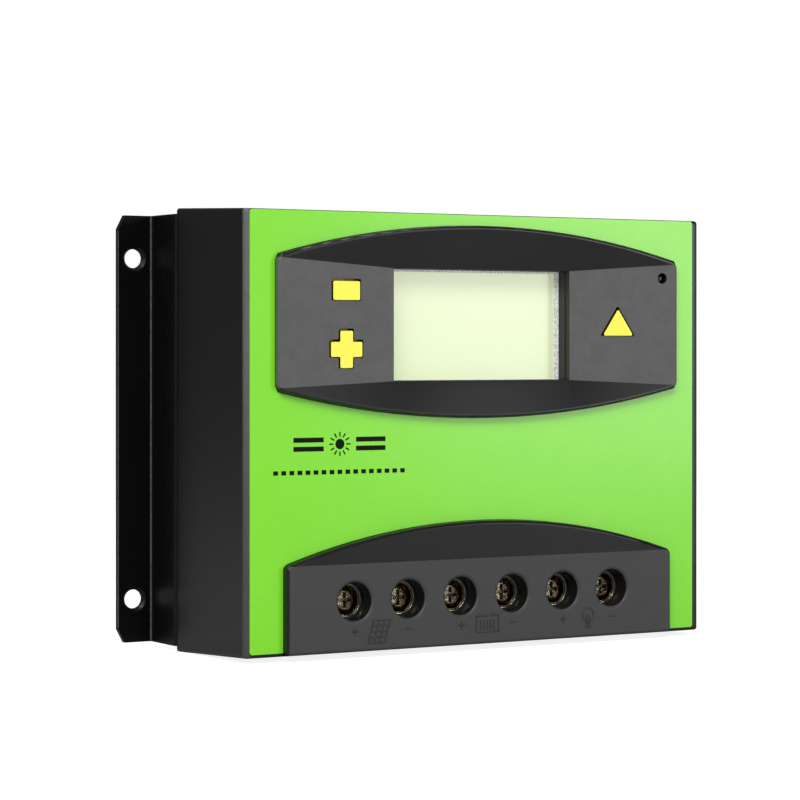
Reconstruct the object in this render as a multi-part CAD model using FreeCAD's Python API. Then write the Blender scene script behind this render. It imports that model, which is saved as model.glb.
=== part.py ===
import FreeCAD, Part
import math
import os
from FreeCAD import Vector as V

# Wall-mounted solar charge controller. Millimetres. X to the right, +Y into the wall, +Z up.
# The origin is the centre of the four mounting holes, on the wall face of the heat sink.
# "rise" is a height in front of the label plane.

# ---- cover ----
label_depth = 56.8        # wall face to the plane that carries the label
cover_w = 154.6           # front face width
cover_h = 124.0           # front face height
cover_draft = 1.6         # growth on each side from the front to the rear edge
cover_wall = 2.4
front_wall = 2.6
cover_corner_r = 0.9
front_edge_r = 0.8

# ---- heat sink ----
sink_depth = 17.6         # wall face to the face that the cover stands on
sink_margin = 0.5         # beyond the cover's rear edge, on each side
sink_plate = 3.5
sink_side = 2.0
sink_edge_r = 1.1
flange_w = 10.6
flange_t = 1.6
flange_cut_x = 2.1        # corner cuts of the flanges
flange_cut_z = 4.0
fin_t = 1.6
fin_pitch = 12.8
fin_side_count = 5        # fins on each side of the middle one
fin_wall_gap = 2.0
mount_inset_x = 5.2
mount_inset_z = 12.5
mount_hole_r = 2.75
mount_sink_r = 3.6

# ---- eye: the raised frame round the display ----
eye_half_w = 68.0
eye_rise = 2.4
eye_top_apex = 58.7       # upper arc at the middle
eye_top_end = 49.4        # upper arc at its two ends
eye_low_apex = 3.4
eye_low_end = 11.6
eye_rim = 1.0             # flat rim round the dished faces
eye_rim_r = 0.7
eye_corner = 1.6
window_half_w = 30.0
window_half_h = 16.0
window_mid_z = 30.1
window_rise = 0.3

# ---- keys and lamp ----
left_keys_off = 16.0      # window's edge to the middle of the keys
minus_z = 39.6
minus_w = 8.9
minus_h = 5.3
plus_z = 23.1
plus_span = 10.4
plus_arm = 4.2
up_off = 16.8
up_z = 27.2               # base line of the triangle
up_w = 10.6
up_h = 7.9
up_stem_z = 30.4
key_proud = 0.25
key_gap = 0.45
key_sag = 0.22            # the keys hang this much below the middle of their holes
key_corner_r = 0.45
key_travel = 0.5
key_lip = 1.2
key_lip_t = 1.0
key_stem_r = 1.6
lamp_x = 62.5
lamp_z = 44.4
lamp_r = 1.5
lamp_gap = 0.1
lamp_set_back = 0.9       # key panel to the tip of the lamp
lamp_collar = 0.35
switch_t = 3.5
switch_side = 6.0
switch_floor = 0.8
plunger_r = 1.75
plunger_up = 1.0

# ---- terminal island ----
term_half_w = 65.4
term_rise = 2.6
term_apex_rise = 3.2
term_fold_z = -37.0       # where the flat face meets the sloping brow
term_apex_z = -26.2
term_corner_r = 2.0
term_edge_r = 0.9
pole_count = 6
pole_pitch = 17.55
screw_z = -47.6
bore_r = 5.3
bore_rim = 1.2
bore_back_r = 4.4
bore_back_rim = 0.4

# ---- terminals ----
head_r = 3.5
head_h = 2.6
head_depth = 6.3          # terminal face to the screw head
shank_r = 2.5
screw_lift = 4.0          # travel from open to fully tightened
run_gap = 0.3
turn_gap = 0.05
nut_t = 2.5
plate_t = 1.2
wire_gap = 7.7
bar_t = 2.0
tunnel_half_w = 4.6
cross_len = 4.4
cross_w = 1.0
cross_d = 1.5
nut_half_w = 5.5
nut_half_h = 4.5
clamp_half_w = 4.2
clamp_half_h = 5.0
tunnel_top = 6.4          # above the screw's axis
bar_leg_half_w = 3.2
bar_leg_t = 2.0

# ---- boards ----
board_t = 1.6
board_inset = 13.4        # board's side edge to the heat sink's side
board_top_inset = 12.0
board_low_inset = 3.0
standoff_h = 8.0
standoff_r = 2.9
stud_r = 1.45
stud_len = 3.0
standoff_x_inset = 5.0
standoff_low = 31.0       # lower standoffs above the board's lower edge
boss_r = 3.6
boss_x_inset = 6.5
boss_z_inset = 5.5
boss_rib_t = 1.6
post_r = 2.8              # posts that carry the display board
display_board_over = 3.5
display_board_half_h = 19.5
display_gap = 9.1         # front wall to display board
lcd_set_back = 5.2        # label plane to the display's glass
lcd_border = 2.0          # glass beyond the window, all round
lcd_t = 2.4
bezel_wall = 3.0
bezel_nose_len = 0.8      # how far the bezel's nose goes into the front wall
bezel_nose_w = 1.2
backlight_t = 3.1
lcd_pin_count = 20
lcd_pin_r = 0.25

# ---- power stage ----
mosfet_count = 6
mosfet_pitch = 18.0
mosfet_z = 30.0
mosfet_w = 10.2
mosfet_body_t = 4.5
mosfet_tab_t = 1.3
mosfet_hole_up = 8.0
mosfet_leg_pitch = 2.54
mosfet_leg_w = 0.8
mosfet_leg_down = 9.5
pad_t = 0.3
pad_half_w = 6.0
parts_z = -14.0           # row of capacitors, fuses and shunts
capacitor_xs = (-50.0, -31.0, -12.0)
capacitor_r = 8.0
capacitor_h = 22.0
fuse_xs = (12.0, 24.0)
fuse_h = 19.0
shunt_xs = (36.0, 44.0)
shunt_span = 16.0
controller_x = -30.0
controller_z = 12.0
controller_side = 10.0
driver_xs = (14.0, 26.0, 38.0)
driver_z = 8.0
driver_side = 5.0
chip_h = 1.4
link_pins = 10
link_pitch = 2.54
link_z = 22.0
link_half_t = 1.25
link_socket_h = 8.5

# ---- label ----
label_t = 0.2
label_left = 1.4
label_right = 2.2
label_top = 0.2
label_bottom = 1.0
label_gap = 0.15
label_corner_r = 0.8

eps = 0.01

sink_w = cover_w + 2 * cover_draft + 2 * sink_margin
sink_h = cover_h
overall_w = sink_w + 2 * flange_w
mount_spacing_x = overall_w - 2 * mount_inset_x
mount_spacing_z = sink_h - 2 * mount_inset_z
left_keys_x = -window_half_w - left_keys_off
up_x = window_half_w + up_off
lcd_w = 2 * (window_half_w + lcd_border)
lcd_h = 2 * (window_half_h + lcd_border)
plate_front = -sink_depth
plate_back = plate_front + sink_plate
front_in = -label_depth + front_wall
main_back = plate_front - standoff_h
main_front = main_back - board_t
display_front = front_in + display_gap
display_back = display_front + board_t
lcd_front = -label_depth + lcd_set_back
board_half_w = sink_w / 2 - board_inset
board_top = sink_h / 2 - board_top_inset
board_low = -sink_h / 2 + board_low_inset
boss_x = cover_w / 2 - boss_x_inset
boss_z = cover_h / 2 - boss_z_inset
head_front = -label_depth - term_rise + head_depth
head_back = head_front + head_h
nut_front = head_back + screw_lift + run_gap
nut_back = nut_front + nut_t
tip = nut_back + 0.5
plate_rear = tip + plate_t
bar_front = plate_rear + wire_gap
bar_back = bar_front + bar_t
housing_half_w = (pole_count - 1) * pole_pitch / 2 + 11.0
housing_top = screw_z + 10.4
housing_low = -cover_h / 2 + cover_wall + 0.2
housing_front = front_in + 0.2
eye_mid_z = (eye_top_end + eye_low_end) / 2
pole_xs = [(i - (pole_count - 1) / 2) * pole_pitch for i in range(pole_count)]

os.makedirs("parts", exist_ok=True)


def front(rise):
    """Y of a point this far in front of the label plane."""
    return -label_depth - rise


def side_growth(y):
    """How far the cover's outer walls stand outside its front outline at depth y."""
    return cover_draft * (y + label_depth) / (label_depth - sink_depth)


def box(x0, x1, y0, y1, z0, z1):
    return Part.makeBox(x1 - x0, y1 - y0, z1 - z0, V(x0, y0, z0))


def rod(x, z, r, y0, y1):
    """Cylinder along Y."""
    return Part.makeCylinder(r, y1 - y0, V(x, y0, z), V(0, 1, 0))


def taper(x, z, r0, r1, y0, y1):
    return Part.makeCone(r0, r1, y1 - y0, V(x, y0, z), V(0, 1, 0))


def face_xz(points, y):
    loop = [V(x, y, z) for x, z in points]
    return Part.Face(Part.makePolygon(loop + loop[:1]))


def prism_xz(points, y0, y1):
    return face_xz(points, y0).extrude(V(0, y1 - y0, 0))


def prism_xy(points, z0, z1):
    loop = [V(x, y, z0) for x, y in points]
    return Part.Face(Part.makePolygon(loop + loop[:1])).extrude(V(0, 0, z1 - z0))


def rounded_along_y(solid, r):
    """Rounds the edges that run along Y."""
    picked = [e for e in solid.Edges if abs(abs(e.tangentAt(e.FirstParameter).y) - 1) < 1e-3]
    return solid.makeFillet(r, picked)


def rounded_face_edges(solid, y, r):
    """Rounds the whole outline of the flat face at depth y."""
    picked = [e for e in solid.Edges if e.BoundBox.YMin > y - eps and e.BoundBox.YMax < y + eps]
    return solid.makeFillet(r, picked)


def join(solids):
    whole = solids[0]
    if len(solids) > 1:
        whole = whole.fuse(solids[1:])
    return whole.removeSplitter()


def largest(shape):
    """The real body, without the skins of no thickness that a cut along a curved edge can leave."""
    return max(shape.Solids, key=lambda solid: solid.Volume)


def group(solids):
    return Part.makeCompound(solids)


def save(name, shape):
    solids = shape.Solids
    shape = solids[0] if len(solids) == 1 else Part.makeCompound(solids)
    shape.exportStep("parts/" + name + ".step")
    print(name, len(solids), round(shape.Volume, 1), shape.isValid())


# ---- outlines ----

def arc_z(x, half_w, end_z, apex_z):
    """Z of the circle arc through the two ends and the apex."""
    sag = apex_z - end_z
    r = (half_w ** 2 + sag ** 2) / (2 * sag)
    return apex_z - r + math.copysign(math.sqrt(r * r - x * x), r)


def arc_edge(x0, x1, half_w, end_z, apex_z, y):
    mid = (x0 + x1) / 2
    ends = [V(x, y, arc_z(x, half_w, end_z, apex_z)) for x in (x0, mid, x1)]
    return Part.Arc(*ends).toShape()


def line(a, b):
    return Part.LineSegment(a, b).toShape()


def eye_arc(side):
    """Apex and end heights of the upper (1) or lower (-1) arc."""
    return (eye_top_apex, eye_top_end) if side > 0 else (eye_low_apex, eye_low_end)


def eye_outline(y, grow=0.0):
    """Lens shape cut off at both ends; its four corners are cut at a slant."""
    half = eye_half_w + grow
    inner = half - eye_corner * 0.6
    edges = []
    shoulder = {}
    for side in (1, -1):
        apex_z, end_z = eye_arc(side)
        apex_z += side * grow
        end_z += side * grow
        shoulder[side] = end_z - side * eye_corner
        edges.append(arc_edge(-inner, inner, half, end_z, apex_z, y))
        for s in (-1, 1):
            start = V(s * inner, y, arc_z(inner, half, end_z, apex_z))
            edges.append(line(start, V(s * half, y, shoulder[side])))
    for s in (-1, 1):
        edges.append(line(V(s * half, y, shoulder[1]), V(s * half, y, shoulder[-1])))
    return Part.Face(Part.Wire(Part.__sortEdges__(edges)))


def terminal_solid(y0, y1, low_z, grow=0.0):
    """Arched block whose two upper corners are rounded."""
    half = term_half_w + grow
    end_z = term_fold_z + grow
    arc = arc_edge(-half, half, half, end_z, term_apex_z + grow, y0)
    edges = [
        arc,
        line(V(half, y0, end_z), V(half, y0, low_z)),
        line(V(half, y0, low_z), V(-half, y0, low_z)),
        line(V(-half, y0, low_z), V(-half, y0, end_z)),
    ]
    block = Part.Face(Part.Wire(Part.__sortEdges__(edges))).extrude(V(0, y1 - y0, 0))
    upper = [e for e in block.Edges
             if abs(abs(e.tangentAt(e.FirstParameter).y) - 1) < 1e-3 and e.CenterOfMass.z > end_z - eps]
    return block.makeFillet(term_corner_r + grow, upper)


# ---- key outlines, each with its own clearance ----

def minus_shape(y0, y1, gap):
    w = minus_w / 2 + gap
    h = minus_h / 2 + gap
    solid = box(left_keys_x - w, left_keys_x + w, y0, y1, minus_z - h, minus_z + h)
    return rounded_along_y(solid, key_corner_r)


def plus_shape(y0, y1, gap):
    s = plus_span / 2 + gap
    a = plus_arm / 2 + gap
    points = [(-s, -a), (-a, -a), (-a, -s), (a, -s), (a, -a), (s, -a)]
    points += [(-x, -z) for x, z in points]
    solid = prism_xz([(x + left_keys_x, z + plus_z) for x, z in points], y0, y1)
    return rounded_along_y(solid, key_corner_r)


def up_shape(y0, y1, gap):
    # the gap is added square to each side, so the corners move out further
    lean = math.hypot(up_w / 2, up_h)
    top = up_h + gap * lean / (up_w / 2)
    side = up_w / 2 + gap * (lean + up_w / 2) / up_h
    points = [(up_x - side, up_z - gap), (up_x + side, up_z - gap), (up_x, up_z + top)]
    return rounded_along_y(prism_xz(points, y0, y1), key_corner_r)


keys = {"minus": (minus_shape, left_keys_x, minus_z), "plus": (plus_shape, left_keys_x, plus_z),
        "up": (up_shape, up_x, up_stem_z)}


def panel_slope():
    return (eye_rise - window_rise) / (eye_half_w - eye_rim - window_half_w)


def panel_rise(x):
    """Height of the sloping key panels at a distance x from the middle."""
    return window_rise + panel_slope() * (abs(x) - window_half_w)


# ---- front cover ----

def cover_shell():
    outer = Part.makeLoft([cover_outline(-label_depth, 0), cover_outline(plate_front, 0)], True, True)
    long_edges = [e for e in outer.Edges if abs(e.tangentAt(e.FirstParameter).y) > 0.9]
    outer = outer.makeFillet(cover_corner_r, long_edges)
    outer = rounded_face_edges(outer, -label_depth, front_edge_r)
    inner = Part.makeLoft([cover_outline(front_in, cover_wall), cover_outline(plate_front + 1, cover_wall)],
                          True, True)
    return outer.cut(inner)


def cover_outline(y, inset):
    w = cover_w / 2 + side_growth(y) - inset
    h = cover_h / 2 + side_growth(y) - inset
    return Part.makePolygon([V(-w, y, -h), V(w, y, -h), V(w, y, h), V(-w, y, h), V(-w, y, -h)])


def eye_island():
    block = eye_outline(front_in).extrude(V(0, front(eye_rise) - front_in, 0))
    block = rounded_face_edges(block, front(eye_rise), eye_rim_r)
    return largest(block.cut(group(eye_dish())))


def eye_dish():
    """What is cut away inside the rim: two key panels and two curved brows that fall to the window."""
    out = V(0, -(eye_rise + 3), 0)
    end = eye_half_w - eye_rim
    win = window_half_w
    tools = []
    corner = {}
    for side in (1, -1):
        win_z = window_mid_z + side * window_half_h
        apex_z, end_z = [z - side * eye_rim for z in eye_arc(side)]
        corner[side] = (win_z, end_z)
        spans = [(-end, -win, eye_rise, window_rise), (-win, win, window_rise, window_rise),
                 (win, end, window_rise, eye_rise)]
        for x0, x1, r0, r1 in spans:
            z0 = end_z if abs(x0) > win else win_z
            z1 = end_z if abs(x1) > win else win_z
            # the outer ends stop just short of the point where arc and fold meet
            if abs(x0) > win:
                x0, z0, r0 = shy(x0, x1, z0, z1, r0, r1)
            if abs(x1) > win:
                x1, z1, r1 = shy(x1, x0, z1, z0, r1, r0)
            upper = arc_edge(x0, x1, end, end_z, apex_z, front(eye_rise))
            lower = line(V(x0, front(r0), z0), V(x1, front(r1), z1))
            tools.append(Part.makeRuledSurface(upper, lower).extrude(out))
    for s in (-1, 1):
        ring = [V(s * end, front(eye_rise), corner[-1][1]), V(s * end, front(eye_rise), corner[1][1]),
                V(s * win, front(window_rise), corner[1][0]), V(s * win, front(window_rise), corner[-1][0])]
        tools.append(Part.Face(Part.makePolygon(ring + ring[:1])).extrude(out))
    tools.append(box(-win, win, front(eye_rise + 3), front(window_rise), corner[-1][0], corner[1][0]))
    return tools


def shy(xa, xb, za, zb, ra, rb):
    t = 0.02
    return xa + t * (xb - xa), za + t * (zb - za), ra + t * (rb - ra)


def terminal_island():
    low = -cover_h / 2 + 0.25
    top_rise = term_apex_rise + 1
    block = terminal_solid(front_in, front(top_rise), low)
    slope = (term_apex_rise - term_rise) / (term_apex_z - term_fold_z)
    far = 20.0
    y_far = front(top_rise + 1)
    y_fold = front(term_rise)
    z_far = term_fold_z + far
    profile = [(y_fold, low - far), (y_fold, term_fold_z), (front(term_rise + slope * far), z_far),
               (y_far, z_far), (y_far, low - far)]
    loop = [V(-term_half_w - 1, y, z) for y, z in profile]
    above = Part.Face(Part.makePolygon(loop + loop[:1])).extrude(V(2 * term_half_w + 2, 0, 0))
    block = block.cut(above)
    rim = [e for e in block.Edges
           if e.BoundBox.YMax < front(term_rise) + eps and not on_fold(e)]
    return block.makeFillet(term_edge_r, rim)


def on_fold(e):
    box_ = e.BoundBox
    return abs(box_.ZMin - term_fold_z) < eps and abs(box_.ZMax - term_fold_z) < eps


def pole_bore(x):
    """Screwdriver hole through the front, its mouth rounded out like a funnel."""
    face_y = front(term_rise)
    r_out = bore_r + bore_rim
    hole = rod(x, screw_z, bore_r, face_y - 3, front_in + 1)
    ring = Part.makeTorus(r_out, bore_rim, V(x, face_y + bore_rim, screw_z), V(0, 1, 0))
    mouth = rod(x, screw_z, r_out, face_y - 0.5, face_y + bore_rim).cut(ring)
    return hole.fuse(mouth)


def front_cover():
    body = join([cover_shell(), eye_island(), terminal_island()])
    adds = []
    for sx in (-1, 1):
        for sz in (-1, 1):
            # corner bosses that take the long screws from behind, tied to the side walls by ribs
            adds.append(rod(sx * boss_x, sz * boss_z, boss_r, front_in - 0.2, plate_front))
            x0, x1 = sorted((sx * boss_x, sx * (cover_w - cover_wall) / 2))
            adds.append(box(x0, x1, front_in - 0.2, plate_front,
                            sz * boss_z - boss_rib_t / 2, sz * boss_z + boss_rib_t / 2))
    for x, z in display_screws():
        adds.append(rod(x, z, post_r, front_in - 0.2, display_front))
    body = join([body] + adds)
    cuts = [box(-window_half_w, window_half_w, front(eye_rise + 1), front_in + 1,
                window_mid_z - window_half_h, window_mid_z + window_half_h)]
    seat = bezel_nose_w + 0.2
    cuts.append(box(-window_half_w - seat, window_half_w + seat, bezel_nose() - 0.1, front_in + 1,
                    window_mid_z - window_half_h - seat, window_mid_z + window_half_h + seat))
    for shape, x, z in keys.values():
        cuts.append(shape(front(eye_rise + 1), front_in + 1, key_gap).translated(V(0, 0, key_sag)))
    cuts.append(rod(lamp_x, lamp_z, lamp_r + lamp_gap, front(eye_rise + 1), front_in + 1))
    for x in pole_xs:
        cuts.append(pole_bore(x))
        cuts.append(box(x - tunnel_half_w, x + tunnel_half_w, plate_rear - 0.4, bar_front + 0.3,
                        -cover_h / 2 - cover_draft - 2, -cover_h / 2 + cover_wall + 2))
    for sx in (-1, 1):
        for sz in (-1, 1):
            cuts.append(rod(sx * boss_x, sz * boss_z, 1.35, front_in + 4, plate_front + 1))
    for x, z in display_screws():
        cuts.append(rod(x, z, 1.05, front_in + 2, display_front + 1))
    return body.cut(cuts).removeSplitter()


def bezel_nose():
    return front_in - bezel_nose_len


def display_screws():
    x = board_half_w - 1.0
    return [(-x, eye_mid_z - 14), (-x, eye_mid_z + 14), (x, eye_mid_z - 14), (x, eye_mid_z + 8)]


# ---- label ----

def front_label():
    left = -cover_w / 2 + label_left
    right = cover_w / 2 - label_right
    top = cover_h / 2 - label_top
    low = -cover_h / 2 + label_bottom
    sheet = rounded_along_y(box(left, right, -label_depth - label_t, -label_depth, low, top), label_corner_r)
    holes = [eye_outline(-label_depth - 1, label_gap).extrude(V(0, 2, 0)),
             terminal_solid(-label_depth - 1, -label_depth + 1, low - 1, label_gap)]
    return sheet.cut(holes)


# ---- heat sink ----

def heat_sink():
    z0 = -sink_h / 2
    z1 = sink_h / 2
    half = sink_w / 2
    plate = box(-half, half, plate_front, plate_back, z0, z1)
    sides = []
    for s in (-1, 1):
        x0, x1 = sorted((s * half, s * (half - sink_side)))
        sides.append(box(x0, x1, plate_front, 0, z0, z1))
        x0, x1 = sorted((s * (half - sink_side), s * overall_w / 2))
        flange = box(x0, x1, -flange_t, 0, z0, z1)
        for sz in (-1, 1):
            tip_x = s * overall_w / 2
            tip_z = sz * sink_h / 2
            cut_x = tip_x - s * flange_cut_x
            cut_z = tip_z - sz * flange_cut_z
            corner = [(cut_x, tip_z), (tip_x, cut_z), (tip_x + s, cut_z), (tip_x + s, tip_z + sz),
                      (cut_x, tip_z + sz)]
            flange = flange.cut(prism_xz(corner, -flange_t - 1, 1))
        sides.append(flange)
    fins = []
    for i in range(-fin_side_count, fin_side_count + 1):
        x = i * fin_pitch
        fins.append(box(x - fin_t / 2, x + fin_t / 2, plate_back - 0.1, -fin_wall_gap, z0, z1))
    body = join([plate] + sides + fins)
    bends = [e for e in body.Edges
             if e.BoundBox.ZLength > sink_h - 1 and abs(abs(e.CenterOfMass.x) - half) < eps
             and abs(e.CenterOfMass.y - plate_front) < eps]
    body = body.makeFillet(sink_edge_r, bends)
    cuts = []
    for sx in (-1, 1):
        for sz in (-1, 1):
            x = sx * mount_spacing_x / 2
            z = sz * mount_spacing_z / 2
            cuts.append(rod(x, z, mount_hole_r, -flange_t - 1, 1))
            lip = mount_sink_r - mount_hole_r
            cuts.append(taper(x, z, mount_sink_r + 0.1, mount_hole_r, -flange_t - 0.1, -flange_t + lip))
            cuts.append(rod(sx * boss_x, sz * boss_z, 1.7, plate_front - 1, plate_back + 1))
    for x, z in mosfet_spots():
        cuts.append(rod(x, z + mosfet_hole_up, 1.5, plate_front - 1, plate_back + 1))
    for x, z in standoff_spots():
        cuts.append(rod(x, z, 1.5, plate_front - 1, plate_back + 1))
    return body.cut(cuts)


# ---- parts on the main board ----

def mosfet_spots():
    return [((i - (mosfet_count - 1) / 2) * mosfet_pitch, mosfet_z) for i in range(mosfet_count)]


def mosfet(x, z):
    y_tab = plate_front - pad_t
    tab = box(x - mosfet_w / 2, x + mosfet_w / 2, y_tab - mosfet_tab_t, y_tab, z - 4.5, z + 11.0)
    body = box(x - mosfet_w / 2, x + mosfet_w / 2, y_tab - mosfet_body_t, y_tab - 0.4, z - 4.8, z + 4.2)
    legs = []
    low = z - mosfet_leg_down
    y_leg = y_tab - 2.4
    for dx in (-mosfet_leg_pitch, 0, mosfet_leg_pitch):
        x0 = x + dx - mosfet_leg_w / 2
        legs.append(box(x0, x0 + mosfet_leg_w, y_leg - 0.5, y_leg, low, z - 4.7))
        legs.append(box(x0, x0 + mosfet_leg_w, main_back, y_leg, low, low + 0.5))
    return join([tab.cut(rod(x, z + mosfet_hole_up, 1.7, y_tab - 9, y_tab + 1)), body] + legs)


def mosfet_pad(x, z):
    pad = box(x - pad_half_w, x + pad_half_w, plate_front - pad_t, plate_front, z - 6.5, z + 12)
    return pad.cut(rod(x, z + mosfet_hole_up, 1.7, plate_front - 1, plate_front + 1))


def pan_screw(x, z, seat, direction, shank, length, head, head_t, slot_len):
    """Pan-head cross-recess screw; direction is the way its tip points along Y."""
    y_tip = seat + direction * length
    y_top = seat - direction * head_t
    shaft = rod(x, z, shank, min(seat, y_tip), max(seat, y_tip))
    cap = rod(x, z, head, min(seat, y_top), max(seat, y_top))
    rim = [e for e in cap.Edges if abs(e.CenterOfMass.y - y_top) < eps and e.BoundBox.XLength > head]
    cap = cap.makeFillet(head_t * 0.45, rim)
    screw = cap.fuse(shaft)
    return screw.cut(cross_slots(x, z, y_top, direction, slot_len))


def cross_slots(x, z, y_top, direction, slot_len):
    depth = min(cross_d, slot_len * 0.32)
    width = slot_len * cross_w / cross_len
    y0, y1 = sorted((y_top - direction, y_top + direction * depth))
    a = box(x - slot_len / 2, x + slot_len / 2, y0, y1, z - width / 2, z + width / 2)
    b = box(x - width / 2, x + width / 2, y0, y1, z - slot_len / 2, z + slot_len / 2)
    return a.fuse(b)


def standoff_spots():
    x = board_half_w - standoff_x_inset
    return [(sx * x, z) for sx in (-1, 1) for z in (board_top - standoff_x_inset, board_low + standoff_low)]


def standoff(x, z):
    turns = [math.radians(60 * k) for k in range(6)]
    hexagon = [(x + standoff_r * math.cos(a), z + standoff_r * math.sin(a)) for a in turns]
    post = prism_xz(hexagon, main_back, plate_front)
    stud = rod(x, z, stud_r, plate_front, plate_front + stud_len)
    return post.fuse(stud).cut(rod(x, z, 1.3, main_back - 1, main_back + 5))


def main_board():
    board = box(-board_half_w, board_half_w, main_front, main_back, board_low, board_top)
    cuts = [rod(x, z + mosfet_hole_up, 3.4, main_front - 1, main_back + 1) for x, z in mosfet_spots()]
    cuts += [rod(x, z, 1.6, main_front - 1, main_back + 1) for x, z in standoff_spots()]
    return board.cut(cuts)


def capacitor(x, z):
    y_top = main_front - capacitor_h
    can = rod(x, z, capacitor_r, y_top, main_front - 1.2)
    can = can.cut(Part.makeTorus(capacitor_r + 0.3, 0.8, V(x, main_front - 4.0, z), V(0, 1, 0)))
    rim = [e for e in can.Edges if abs(e.CenterOfMass.y - y_top) < eps]
    can = can.makeFillet(0.8, rim)
    legs = [rod(x + dx, z, 0.45, main_front - 1.3, main_front) for dx in (-3.75, 3.75)]
    vent_r = capacitor_r * 0.56
    vent = [box(x - vent_r, x + vent_r, y_top - 1, y_top + 0.2, z - 0.3, z + 0.3)]
    vent.append(box(x - 0.3, x + 0.3, y_top - 1, y_top + 0.2, z - vent_r, z + vent_r))
    return join([can.cut(vent)] + legs)


def fuse_base(x, z):
    body = box(x - 3.4, x + 3.4, main_front - 9, main_front, z - 11, z + 11)
    return body.cut(box(x - 2.6, x + 2.6, main_front - 10, main_front - 4, z - 9.7, z + 9.7))


def blade_fuse(x, z):
    y_top = main_front - fuse_h
    top = box(x - 2.5, x + 2.5, y_top, main_front - 8, z - 9.5, z + 9.5)
    blades = [box(x - 0.35, x + 0.35, main_front - 8.1, main_front - 4, z + s * 6.9 - 2.5, z + s * 6.9 + 2.5)
              for s in (-1, 1)]
    dip = box(x - 3, x + 3, y_top - 1, y_top + 1.4, z - 4, z + 4)
    return join([top.cut(dip)] + blades)


def shunt(x, z):
    """Bridge of thick resistance wire: two posts and a round top bar."""
    wire_r = 1.1
    lift = 6.0
    bend = 2.5
    y_top = main_front - lift
    a = V(x, main_front, z - shunt_span / 2)
    b = V(x, y_top + bend, z - shunt_span / 2)
    c = V(x, y_top, z - shunt_span / 2 + bend)
    k = bend * (1 - math.sqrt(0.5))
    arc_1 = Part.Arc(b, V(x, y_top + k, z - shunt_span / 2 + k), c).toShape()
    d = V(x, y_top, z + shunt_span / 2 - bend)
    e = V(x, y_top + bend, z + shunt_span / 2)
    arc_2 = Part.Arc(d, V(x, y_top + k, z + shunt_span / 2 - k), e).toShape()
    path = Part.Wire([line(a, b), arc_1, line(c, d), arc_2, line(e, V(x, main_front, z + shunt_span / 2))])
    section = Part.Wire(Part.makeCircle(wire_r, a, V(0, 1, 0)))
    return path.makePipeShell([section], True, True)


def flat_chip(x, z, side, leg_count, leg_pitch):
    body = box(x - side / 2, x + side / 2, main_front - chip_h, main_front - 0.1, z - side / 2, z + side / 2)
    legs = []
    for k in range(leg_count):
        offset = (k - (leg_count - 1) / 2) * leg_pitch
        for s in (-1, 1):
            x0, x1 = sorted((x + s * (side / 2 - 0.2), x + s * (side / 2 + 1)))
            legs.append(box(x0, x1, main_front - 0.2, main_front, z + offset - 0.15, z + offset + 0.15))
            z0, z1 = sorted((z + s * (side / 2 - 0.2), z + s * (side / 2 + 1)))
            legs.append(box(x + offset - 0.15, x + offset + 0.15, main_front - 0.2, main_front, z0, z1))
    return join([body] + legs)


def link_xs():
    return [(i - (link_pins - 1) / 2) * link_pitch for i in range(link_pins)]


def link_socket():
    half = link_pins * link_pitch / 2
    y_top = main_front - link_socket_h
    body = box(-half, half, y_top, main_front, link_z - link_half_t, link_z + link_half_t)
    return body.cut([box(x - 0.4, x + 0.4, y_top - 1, main_front - 2, link_z - 0.4, link_z + 0.4)
                     for x in link_xs()])


def link_header():
    half = link_pins * link_pitch / 2
    base = box(-half, half, display_back, display_back + 2.5, link_z - link_half_t, link_z + link_half_t)
    reach = main_front - 3.5
    pins = [box(x - 0.32, x + 0.32, display_back + 2.4, reach, link_z - 0.32, link_z + 0.32)
            for x in link_xs()]
    return join([base] + pins)


# ---- display and keys ----

def display_board():
    half_w = board_half_w + display_board_over
    board = box(-half_w, half_w, display_front, display_back,
                eye_mid_z - display_board_half_h, eye_mid_z + display_board_half_h)
    return board.cut([rod(x, z, 1.3, display_front - 1, display_back + 1) for x, z in display_screws()])


def lcd_bezel():
    half_w = lcd_w / 2 + bezel_wall
    half_h = lcd_h / 2 + bezel_wall
    z = window_mid_z
    frame = box(-half_w, half_w, front_in + 0.1, display_front, z - half_h, z + half_h)
    nose_w = window_half_w + bezel_nose_w
    nose_h = window_half_h + bezel_nose_w
    nose = box(-nose_w, nose_w, bezel_nose(), front_in + 0.2, z - nose_h, z + nose_h)
    pocket = box(-lcd_w / 2, lcd_w / 2, lcd_front, display_front + 1, z - lcd_h / 2, z + lcd_h / 2)
    hole = box(-window_half_w + 0.15, window_half_w - 0.15, front(1), lcd_front + 1,
               z - window_half_h + 0.15, z + window_half_h - 0.15)
    return join([frame, nose]).cut([pocket, hole])


def lcd_glass():
    return box(-lcd_w / 2, lcd_w / 2, lcd_front, lcd_front + lcd_t,
               window_mid_z - lcd_h / 2, window_mid_z + lcd_h / 2)


def lcd_backlight():
    y0 = lcd_front + lcd_t
    return box(-lcd_w / 2 + 0.5, lcd_w / 2 - 0.5, y0, y0 + backlight_t,
               window_mid_z - lcd_h / 2 + 2, window_mid_z + lcd_h / 2 - 0.5)


def lcd_pins():
    y0 = lcd_front + lcd_t
    z = window_mid_z - lcd_h / 2 + 1
    xs = [(i - (lcd_pin_count - 1) / 2) * link_pitch for i in range(lcd_pin_count)]
    return group([rod(x, z, lcd_pin_r, y0, display_front) for x in xs])


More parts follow.
